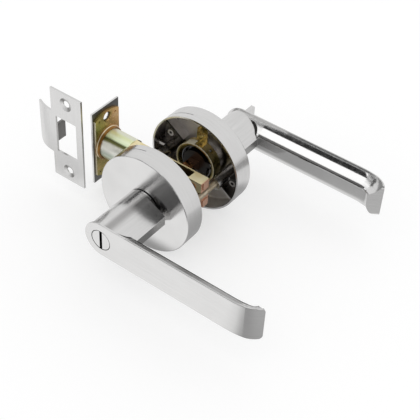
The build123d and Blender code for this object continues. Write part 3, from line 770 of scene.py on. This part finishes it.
# Sizes in metres that zones and pieces share: places along X, heights from the door's middle
# along Y, and the inside of a rose.
NECK_END = 0.0186
BLADE_STRAIGHT_END = 0.098
BACKPLATE_FACE = -0.05715
BOLT_OFFSET = 0.022
BLADE_FOOT = 0.0627
BLADE_BACK = 0.07115
BLADE_FACE = 0.07247
ROSE_INSIDE: Span = (0.0, 0.0334)
ROSE_DEPTH: Span = (0.0186, 0.0312)


def dress(node: str, material: bpy.types.Material) -> None:
    """Give a CAD node its material and report it.

    Args:
        node: Name of the CAD node.
        material: Finish for all of it.
    """
    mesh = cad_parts[node].data
    mesh.materials.clear()
    mesh.materials.append(material)
    LOG.info("dressed %s with %s", node, material.name)


def surface_mesh(name: str, points: np.ndarray) -> bpy.types.Mesh:
    """Put a closed grid of points into a mesh of quads that face outward.

    Args:
        name: Name of the mesh.
        points: Rows along the piece, columns round it, X, Y and Z last; the end rows are poles.

    Returns:
        The mesh, shaded smooth.
    """
    rows, columns = points.shape[:2]
    number = np.arange(rows * columns).reshape(rows, columns)
    ahead = np.roll(number, -1, axis=1)
    quads = np.stack([number[:-1], ahead[:-1], ahead[1:], number[1:]], axis=-1).reshape(-1, 4)
    work = bmesh.new()
    mesh = bpy.data.meshes.new(name)
    mesh.from_pydata(points.reshape(-1, 3).tolist(), [], quads.tolist())
    work.from_mesh(mesh)
    bmesh.ops.remove_doubles(work, verts=work.verts, dist=MERGE_DISTANCE)
    bmesh.ops.recalc_face_normals(work, faces=work.faces)
    work.to_mesh(mesh)
    work.free()
    mesh.polygons.foreach_set("use_smooth", np.ones(len(mesh.polygons), bool))
    mesh.update()
    return mesh


def add_piece(
    name: str, points: np.ndarray, material: bpy.types.Material, node: str
) -> bpy.types.Object:
    """Add a built piece that stands for a CAD node.

    Args:
        name: Name of the piece.
        points: Closed grid of its points.
        material: Its finish.
        node: CAD node that it stands for.

    Returns:
        The piece.
    """
    mesh = surface_mesh(name, points)
    mesh.materials.append(material)
    piece = bpy.data.objects.new(name, mesh)
    bpy.context.scene.collection.objects.link(piece)
    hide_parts(node)
    LOG.info("built %s for %s", name, node)
    return piece


@dataclass
class LeverSide:
    """One lever with its rose, bush, circlip and spring cage."""

    side: str
    lever: SatinNickel = SatinNickel("lever_satin", Grain.ALONG_LEVER, zones=(
        # Painted shade on the journal inside the rose, in the gap before the neck's foot and on the
        # ring round the coin turn.
        RoundHollow(Tone.SHADE, radii=(0.0, 0.0127), heights=(0.0, 0.0327)),
        RoundHollow(Tone.SHADE, radii=(0.0, 0.0326), heights=(0.0326, 0.0351), least_x=0.0066),
        RoundHollow(Tone.SHADE, radii=(0.0067, 0.0073), heights=(0.06, 0.0722)),
        # Smoother inner side of the inside blade; painted shade on the outside blade's inner side
        # and on its upper edge.
        BoxSpace(
            Tone.INNER_SIDE, across=(NECK_END, BLADE_STRAIGHT_END), along=(BLADE_FOOT, BLADE_BACK)
        ),
        BoxSpace(
            Tone.DULL_SIDE, across=(NECK_END, BLADE_STRAIGHT_END), along=(-BLADE_BACK, -BLADE_FOOT)
        ),
        BoxSpace(
            Tone.UPPER_EDGE, across=(NECK_END, 1.0), along=(-BLADE_FACE, -BLADE_BACK),
            up=(0.0121, 1.0)
        ),
        # Painted shade along the inner ridge, on the end of the neck and at the foot of the blade;
        # a painted dark reflection along the neck.
        EachSide(
            Tone.CREASE, across=(NECK_END, 0.1), along=(BLADE_FOOT, 0.0643), up=(0.0046, 0.0059)
        ),
        EachSide(Tone.END_FACE, across=(0.01895, 0.0192), along=(0.035, BLADE_FOOT)),
        PaintedNeckReflection(
            Tone.NECK_STREAK, across=(0.0003, 0.0034, 0.0044, 0.0085), along=(-0.0712, -0.034)
        ),
        PaintedBladeRootShade(
            Tone.SHADE, flank=(-0.01531, -0.04602, 0.06006), bound=(0.0093, 0.0, 0.0095),
            heights=(0.0622, 0.0715)
        ),
    ))
    rose: SatinNickel = SatinNickel("rose_satin", Grain.ROUND_ROSE, zones=(
        # Raw casting darkened as painted shade, with painted light at its upper left and at its
        # bottom.
        RoundHollow(Tone.CASTING, radii=ROSE_INSIDE, heights=(0.0, 0.0312)),
        LitHollow(Tone.LIT_CASTING, radii=ROSE_INSIDE, heights=ROSE_DEPTH),
        LitHollow(
            Tone.LIT_CASTING, radii=ROSE_INSIDE, heights=ROSE_DEPTH,
            fade_x=(0.05, 0.06), fade_z=(-0.01, -0.024)
        ),
        # Painted shade on the edge of the upper rib, painted light on the post and painted shade on
        # the web beside it.
        EachSide(Tone.SHADE, across=(-0.034, 0.0), along=(0.0231, 0.0235), up=(0.0, 0.034)),
        AlongY(Tone.POST, axes=((BOLT_OFFSET, 0.0),), radius=0.0042, along=(-0.03, 0.03)),
        EachSide(
            Tone.SHADE, across=(0.0262, 0.0326), along=(0.021, 0.0313), up=(-0.0012, 0.0012)
        ),
    ))
    cage: YellowZinc = YellowZinc("cage_zinc", OLIVE, roughness=0.15, metallic=0.85, zones=(
        # Painted highlights: a pale rim and a light patch on top.
        RoundHollow(Tone.CAGE_LIGHT, radii=(0.0145, 0.0152), heights=(0.0185, 0.0196)),
        EachSide(
            Tone.CAGE_LIGHT, across=(-0.0085, -0.0015), along=(0.0195, 0.0238), up=(0.0125, 0.0152)
        ),
    ))
    bush: Nylon = Nylon("bush_nylon")
    steel: PlainPlate = PlainPlate("circlip_steel", (0.2, 0.2, 0.21), (0.11, 0.11, 0.115), 0.24)

    def dress(self) -> None:
        """Give each piece of the side its finish."""
        dress(f"{self.side}_lever", self.lever.material())
        dress(f"{self.side}_rose", self.rose.material())
        dress(f"{self.side}_bush", self.bush.material())
        cage = self.cage.material()
        for piece in ("spring_cage", "cage_screws"):
            dress(f"{self.side}_{piece}", cage)
        dress(f"{self.side}_circlip", self.steel.material())


@dataclass
class Lock:
    """Coin turn, turn button and what joins them through the hollow spindle."""

    turn: SatinNickel = SatinNickel("turn_satin", Grain.UP_PLATE, zones=(
        # Painted shade on everything below the faces, which darkens the slot.
        RoundHollow(Tone.SHADE, radii=(0.0, 0.0073), heights=(0.0, 0.0722)),
    ))
    spindle: PlainPlate = PlainPlate("spindle_copper", (0.6, 0.32, 0.2), (0.48, 0.24, 0.14))
    steel: PlainPlate = PlainPlate("lock_steel", (0.58, 0.58, 0.58), (0.44, 0.43, 0.41))

    def dress(self) -> None:
        """Give each piece of the lock its finish."""
        satin = self.turn.material()
        dress("coin_turn", satin)
        dress("turn_button", satin)
        dress("drive_spindle", self.spindle.material())
        steel = self.steel.material()
        for piece in ("privacy_bar", "lock_arm", "inside_grub_screw"):
            dress(piece, steel)


@dataclass
class Latch:
    """Tubular latch: plates, tube, case, hub and bolt."""

    face: SatinNickel = SatinNickel("plate_satin", Grain.UP_PLATE, zones=(
        BoxSpace(Tone.PLATE_BACK, across=(-0.05871, 0.0)),
    ))
    bolt: SatinNickel = SatinNickel("bolt_satin", Grain.UP_PLATE)
    back: YellowZinc = YellowZinc(
        "backplate_zinc", BROWN, clouds=70.0, roughness=0.26, metallic=0.6,
        drift=(-0.0114, 0.0114), zones=(
            # Orange collar with a painted highlight line round it, and a painted highlight on the
            # plate's side.
            AlongX(Tone.ORANGE_COLLAR, radius=0.0126, across=(BACKPLATE_FACE, 0.0)),
            AlongX(Tone.PALE_EDGE, radius=0.01215, across=(BACKPLATE_FACE, 0.0)),
            AlongX(Tone.ORANGE_COLLAR, radius=0.0119, across=(BACKPLATE_FACE, 0.0)),
            BoxSpace(Tone.PALE_EDGE, across=(-1.0, BACKPLATE_FACE), along=(-1.0, -0.01125)),
        )
    )
    tube: BandedZinc = BandedZinc("tube_zinc", TUBE_FILM_AND_REFLECTION_BANDS)
    case: YellowZinc = YellowZinc(
        "case_zinc", CREAM, clouds=80.0, roughness=0.24, metallic=0.45, zones=(
            # Copper coloured end, and painted shade inside.
            BoxSpace(Tone.COPPER_TAB, across=(0.02235, 1.0)),
            BoxSpace(
                Tone.CASE_INSIDE, across=(-1.0, 0.0223), along=(-0.00302, 0.00302),
                up=(-0.0099, 0.0099)
            ),
        )
    )
    hub: YellowZinc = YellowZinc("hub_zinc", DARK_BROWN)
    copper: PlainPlate = PlainPlate("rivet_copper", (0.72, 0.44, 0.3), (0.5, 0.28, 0.18))
    steel: PlainPlate = PlainPlate("latch_steel", (0.6, 0.6, 0.6), (0.45, 0.44, 0.42))

    def dress(self) -> None:
        """Give each piece of the latch its finish."""
        dress("faceplate", self.face.material())
        dress("latch_bolt", self.bolt.material())
        dress("latch_backplate", self.back.material())
        dress("latch_tube", self.tube.material())
        dress("latch_case", self.case.material())
        hub = self.hub.material()
        for piece in ("latch_hub", "retractor"):
            dress(piece, hub)
        dress("case_rivets", self.copper.material())
        dress("bolt_stem", self.steel.material())


@dataclass
class Strike:
    """Strike plate for the door frame."""

    plate: SatinNickel = SatinNickel("strike_satin", Grain.UP_PLATE, roughness=0.26, zones=(
        # Painted shade on the tang behind the opening and in the two screw holes.
        BoxSpace(Tone.TANG, across=(-0.0785, 0.0), along=(-0.02545, 0.0)),
        Countersinks(
            Tone.TANG, axes=((-0.06755, -0.01365), (-0.06755, 0.04035)), radius=0.0049,
            along=(-0.02688, 0.0)
        ),
    ))

    def dress(self) -> None:
        """Give the plate its finish."""
        dress("strike_plate", self.plate.material())


@dataclass
class ThroughBolts:
    """Pair of countersunk bolts with their rolled thread and cross recess."""

    places: Span = (-BOLT_OFFSET, BOLT_OFFSET)
    radius: float = 0.002
    head_radius: float = 0.004
    head_depth: float = 0.002
    head_face: float = 0.0325
    end: float = -0.026
    chamfer: float = 0.0008
    pitch: float = 0.0007
    rows_per_pitch: int = 6
    thread_depth: float = 0.00032
    thread_start: float = 0.012
    recess_half: float = 0.0004
    recess_depth: float = 0.001
    recess_slope: float = 0.00015
    cone_rows: int = 8
    face_rows: int = 40
    columns: int = 64
    zinc: YellowZinc = YellowZinc("bolt_zinc", DULL, clouds=90.0, roughness=0.28, metallic=0.85)

    def angle(self) -> np.ndarray:
        """Angles round the bolt, one for each column."""
        return np.linspace(0, FULL_TURN, self.columns, endpoint=False)[None, :]

    def shank(self) -> tuple[np.ndarray, np.ndarray]:
        """Radius less a triangle wave of the height less the turn, once a pitch, and height.

        Returns:
            Radius for each row and column, and height for each row.
        """
        rows = int((self.thread_start - self.end) / self.pitch * self.rows_per_pitch)
        along = np.linspace(self.end, self.thread_start, rows)[:, None]
        turn = (along / self.pitch - self.angle() / FULL_TURN) % 1.0
        crest = np.minimum(self.radius, self.radius - self.chamfer + (along - self.end))
        fade = np.clip((self.thread_start - along) / self.pitch, 0, 1)
        return crest - fade * self.thread_depth * np.abs(2 * turn - 1), along

    def head(self) -> tuple[np.ndarray, np.ndarray]:
        """Radius and height: a cone, then a flat face that drops where either cross arm is near.

        Returns:
            Radius for each row, and height for each row and column.
        """
        cone = np.linspace(self.radius, self.head_radius, self.cone_rows)[:, None]
        flat = np.linspace(self.head_radius, 0.0, self.face_rows)[:, None]
        rise = (cone - self.radius) / (self.head_radius - self.radius) * self.head_depth
        arm = flat * np.minimum(np.abs(np.cos(self.angle())), np.abs(np.sin(self.angle())))
        sunk = np.clip((self.recess_half - arm) / self.recess_slope, 0, 1)
        sunk = sunk * np.clip((self.radius - flat) / self.recess_slope, 0, 1)
        low = self.head_face - self.head_depth + rise + 0 * self.angle()
        high = self.head_face - self.recess_depth * sunk
        return np.concatenate([cone, flat]), np.concatenate([low, high])

    def points(self, x: float) -> np.ndarray:
        """Both stretches as one closed grid: (x + r cos a, height, r sin a).

        Args:
            x: Place of the axis.

        Returns:
            Grid of points from the pole at the end to the pole in the head.
        """
        shank_radius, along = self.shank()
        head_radius, height = self.head()
        angle = self.angle()
        wide = np.zeros((1, self.columns))
        radius = np.concatenate([wide, shank_radius, head_radius + wide])
        along = np.concatenate([self.end + wide, along + wide, height])
        return np.stack([x + radius * np.cos(angle), along, radius * np.sin(angle)], axis=-1)

    def build(self) -> None:
        """Make the bolts, which stand for the plain CAD ones."""
        material = self.zinc.material()
        for number, x in enumerate(self.places):
            name = f"threaded_bolt_{number + 1}"
            piece = add_piece(name, self.points(x), material, "through_bolts")
            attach(piece, "door_set")


@dataclass(frozen=True)
class Coil:
    """Wire wound about an axis, with a straight leg at each end."""

    radius: float
    wire: float
    turns: float
    first_leg: float
    last_leg: float
    rows_per_turn: int = 48
    columns: int = 16

    def line(self, low: float, high: float) -> tuple[np.ndarray, np.ndarray, np.ndarray]:
        """Middle of the wire: (R cos a, R sin a, low + (high - low) a / end), then each leg.

        Args:
            low: Height where the winding starts.
            high: Height where it ends.

        Returns:
            Points of the middle line, directions away from the axis, directions across both.
        """
        end = FULL_TURN * self.turns
        wound = np.linspace(0, end, int(self.turns * self.rows_per_turn) + 1)
        angle = np.concatenate([[0.0], wound, [end]])
        leg = np.concatenate([[-self.first_leg], 0 * wound, [self.last_leg]])[:, None]
        rise = (high - low) / end
        flat = 0 * angle
        out = np.stack([np.cos(angle), np.sin(angle), flat], axis=-1)
        round_axis = np.stack([-np.sin(angle), np.cos(angle), flat], axis=-1)
        ahead = self.radius * round_axis + np.array([0.0, 0.0, rise])
        ahead = ahead / np.linalg.norm(ahead, axis=-1, keepdims=True)
        up = np.stack([flat, flat, low + rise * angle], axis=-1)
        return self.radius * out + up + leg * ahead, out, np.cross(ahead, out)

    def points(self, low: float, high: float) -> np.ndarray:
        """Wire's surface: its middle plus r (cos v out + sin v across), closed at both ends.

        Args:
            low: Height where the winding starts.
            high: Height where it ends.

        Returns:
            Closed grid of points.
        """
        middle, out, across = (part[:, None] for part in self.line(low, high))
        turn = np.linspace(0, FULL_TURN, self.columns, endpoint=False)[None, :, None]
        skin = middle + self.wire / 2 * (np.cos(turn) * out + np.sin(turn) * across)
        poles = middle + 0 * turn
        return np.concatenate([poles[:1], skin, poles[-1:]])


@dataclass
class Springs:
    """Return springs of the levers, and the latch spring."""

    returning: Coil = Coil(0.0116, wire=0.0012, turns=1.75, first_leg=0.0012, last_leg=0.0088)
    latching: Coil = Coil(0.0052, wire=0.0008, turns=4.0, first_leg=0.0008, last_leg=0.0008)
    throw: float = 0.0097
    steel: PlainPlate = PlainPlate("spring_steel", (0.2, 0.2, 0.21), (0.11, 0.11, 0.115), 0.24)

    def build_return(self, side: str, outward: int, material: bpy.types.Material) -> None:
        """Make one return spring.

        Args:
            side: Name of the door's side.
            outward: Sign of Y on that side.
            material: Finish of the wire.
        """
        node = f"{side}_return_spring"
        low, high = sorted(abs(corner[1]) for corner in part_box(node))
        low, high = low + self.returning.wire / 2, high - self.returning.wire / 2
        x, y, z = np.moveaxis(self.returning.points(low, high), -1, 0)
        grid = np.stack([x, outward * z, -y], axis=-1)
        piece = add_piece(f"{side}_return_coil", grid, material, node)
        ends = [(0.0, outward * height, 0.0) for height in (low, high)]
        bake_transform(piece)

    def build_latch(self, material: bpy.types.Material) -> None:
        """Make the latch spring, which the bolt presses against the case.

        Args:
            material: Finish of the wire.
        """
        low, high = (corner[0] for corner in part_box("latch_spring"))
        half = self.latching.wire / 2
        x, y, z = np.moveaxis(self.latching.points(low + half, high - half), -1, 0)
        grid = np.stack([z, y, -x], axis=-1)
        piece = add_piece("latch_coil", grid, material, "latch_spring")
        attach(piece, "door_set")
        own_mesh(piece)

    def build(self) -> None:
        """Make all three springs."""
        material = self.steel.material()
        self.build_return("outside", -1, material)
        self.build_return("inside", 1, material)
        self.build_latch(material)


@dataclass(frozen=True)
class ShownFloor:
    """How bright the floor shows in polished metal, with painted shadow under the set: levels,
    steps and their spans in metres.
    """

    front_edge: Span = (-0.045, -0.036)
    tip_level: float = 1.06
    tip_steps: Steps = ((-0.12, (0.073, 0.089)), (-0.53, (0.087, 0.103)), (0.13, (0.105, 0.15)))
    foot_shadow_drop: float = 0.26
    foot_across: Span = (-0.078, -0.066)
    foot_along: Span = (-0.08, -0.045)
    shade_level: float = 1.0
    shade_steps: Steps = ((-0.58, (-0.075, -0.03)), (0.2, (0.03, 0.13)))
    shadow_spot_place: Span = (-0.025, 0.042)
    shadow_spot_fade: Span = (0.008, 0.042)
    shadow_spot_level: float = 0.25
    back_edge: Span = (0.047, 0.062)
    back_level: float = 0.85

    def brightness(self, graph: Graph) -> Value:
        """Brightness over the floor: white in front and to the left, with painted shadow that makes
        it grey under the set.

        Args:
            graph: The floor's material.

        Returns:
            The brightness.
        """
        x, y = graph.x, graph.y
        tip = self.tip_level + sum(step * x.rise(*span) for step, span in self.tip_steps)
        # Painted shadow by the strike's foot, under the set and round a spot behind the rose.
        foot = (1 - x.rise(*self.foot_across)) * y.rise(*self.foot_along)
        shade = self.shade_level + sum(step * x.rise(*span) for step, span in self.shade_steps)
        apart = (x - self.shadow_spot_place[0]).length(y - self.shadow_spot_place[1])
        shade = shade * (self.shadow_spot_level + (1 - self.shadow_spot_level) * apart.rise(*self.shadow_spot_fade))
        back = y.rise(*self.back_edge)
        behind = shade * (1 - back) + self.back_level * back
        front = 1 - y.rise(*self.front_edge)
        return front * (tip - self.foot_shadow_drop * foot) + (1 - front) * behind


@dataclass
class Studio:
    """Pale floor, soft light, reflecting panels and the camera."""

    floor_level: float = -0.0346
    floor_half: float = 6.0
    floor_colour: Colour = (0.48, 0.48, 0.48)
    lift: float = 0.575
    shown_floor: ShownFloor = ShownFloor()
    sky: float = 0.9
    camera_place: Triple = (0.30355, -0.40217, 0.44102)
    camera_right: Triple = (0.79903, 0.59962, 0.04516)
    camera_up: Triple = (-0.43492, 0.52448, 0.73201)
    camera_back: Triple = (0.41525, -0.60454, 0.67980)
    lens: float = 90.437
    sensor: float = 36.0
    clip: Span = (0.01, 100.0)

    def plane(
        self, name: str, corners: list[Triple], material: bpy.types.Material
    ) -> bpy.types.Object:
        """Make a flat stage piece.

        Args:
            name: Name of the piece.
            corners: Its four corners in order.
            material: Its material.

        Returns:
            The piece.
        """
        mesh = bpy.data.meshes.new(name)
        mesh.from_pydata(corners, [], [(0, 1, 2, 3)])
        mesh.materials.append(material)
        piece = bpy.data.objects.new(name, mesh)
        bpy.context.scene.collection.objects.link(piece)
        return piece

    def build_floor(self) -> None:
        """Pale floor that shows white where nothing shades it."""
        graph = Graph("floor_paper")
        path = graph.node("ShaderNodeLightPath")
        camera = Value(graph, path.outputs["Is Camera Ray"])
        paper = graph.node("ShaderNodeBsdfDiffuse", None, {"Color": (*self.floor_colour, 1.0)})
        glow = graph.node("ShaderNodeEmission", None, {"Color": camera * self.lift})
        seen = graph.node("ShaderNodeAddShader", None, {0: paper.outputs[0], 1: glow.outputs[0]})
        # Polished metal sees the floor's painted brightness, with painted shadow under the set.
        bright = self.shown_floor.brightness(graph)
        shown = graph.node("ShaderNodeEmission", None, {"Color": bright})
        inputs = {0: path.outputs["Is Glossy Ray"], 1: seen.outputs[0], 2: shown.outputs[0]}
        material = graph.close(graph.node("ShaderNodeMixShader", None, inputs))
        half, z = self.floor_half, self.floor_level
        corners = [(-half, -half, z), (half, -half, z), (half, half, z), (-half, half, z)]
        self.plane("floor", corners, material)

    def build_panels(self) -> None:
        """Long studio panels in front and to the left that only polished metal shows."""
        for panel in Panel:
            name = f"panel_{panel.name.lower()}"
            left, right, low, high = panel.value
            graph = Graph(name)
            inputs = {"Strength": left}
            if left != right:
                inputs = {"Color": left + (right - left) * graph.x.rise(low[0], high[0])}
            material = graph.close(graph.node("ShaderNodeEmission", None, inputs))
            turn = 0 if low[0] != high[0] else 1
            second = tuple(high[axis] if axis == turn else low[axis] for axis in range(3))
            fourth = tuple(low[axis] if axis == turn else high[axis] for axis in range(3))
            piece = self.plane(name, [low, second, high, fourth], material)
            piece.visible_camera = False
            piece.visible_diffuse = False
            piece.visible_shadow = False
            piece.visible_transmission = False

    def build_light(self) -> None:
        """Even white surroundings."""
        world = bpy.data.worlds.new("studio")
        world.use_nodes = True
        surroundings = world.node_tree.nodes["Background"].inputs
        surroundings["Color"].default_value = (1.0, 1.0, 1.0, 1.0)
        surroundings["Strength"].default_value = self.sky
        bpy.context.scene.world = world

    def build_camera(self) -> None:
        """Camera at the photograph's place."""
        data = bpy.data.cameras.new("camera")
        data.sensor_width = self.sensor
        data.lens = self.lens
        data.clip_start, data.clip_end = self.clip
        camera = bpy.data.objects.new("camera", data)
        turn = Matrix((self.camera_right, self.camera_up, self.camera_back)).transposed()
        camera.matrix_world = Matrix.Translation(Vector(self.camera_place)) @ turn.to_4x4()
        bpy.context.scene.collection.objects.link(camera)
        bpy.context.scene.camera = camera

    def build(self) -> None:
        """Set up the whole studio."""
        bpy.context.scene.view_settings.view_transform = "Standard"
        self.build_floor()
        self.build_panels()
        self.build_light()
        self.build_camera()


def main() -> None:
    """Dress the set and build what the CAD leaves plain."""
    logging.basicConfig(level=logging.INFO)
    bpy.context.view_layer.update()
    for side in ("outside", "inside"):
        LeverSide(side).dress()
    Lock().dress()
    Latch().dress()
    Strike().dress()
    ThroughBolts().build()
    Springs().build()
    Studio().build()


if __name__ == "__main__":
    main()
